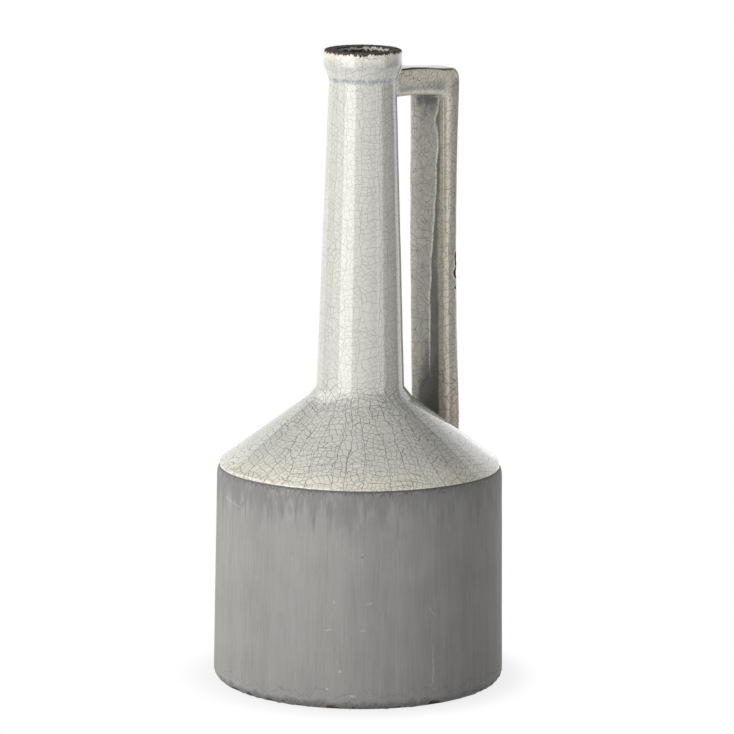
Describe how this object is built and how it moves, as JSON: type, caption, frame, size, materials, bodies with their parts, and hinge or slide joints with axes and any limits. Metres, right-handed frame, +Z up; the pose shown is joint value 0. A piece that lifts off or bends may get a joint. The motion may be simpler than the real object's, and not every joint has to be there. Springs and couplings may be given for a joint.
{
  "type": "ewer",
  "caption": "Ceramic ewer with a matte drum body, a crackle-glazed conical shoulder, a long tapered neck with a collared mouth, and an upright square handle.",
  "frame": {"origin": "centre of the foot on the table, under the neck's axis", "axes": "+Z up along the neck's axis, +X towards the handle"},
  "size_m": [0.1598, 0.1598, 0.3495],
  "materials": {
    "crackle_glaze": "glossy pale grey crackle glaze",
    "grey_engobe": "matte grey coat, brushed upright",
    "bare_clay": "unglazed dark brown clay"
  },
  "bodies": {
    "root": {"base_slab": "grey_engobe", "floor_coil": "bare_clay", "body_wall": "grey_engobe", "shoulder_coil": "bare_clay", "shoulder_cone": "crackle_glaze", "neck_coil": "bare_clay", "neck_tube": "crackle_glaze", "mouth_collar": "crackle_glaze", "arm_coil": "crackle_glaze", "handle_arm": "crackle_glaze", "handle_strap": "crackle_glaze", "foot_coil": "crackle_glaze"}
  },
  "joints": []
}
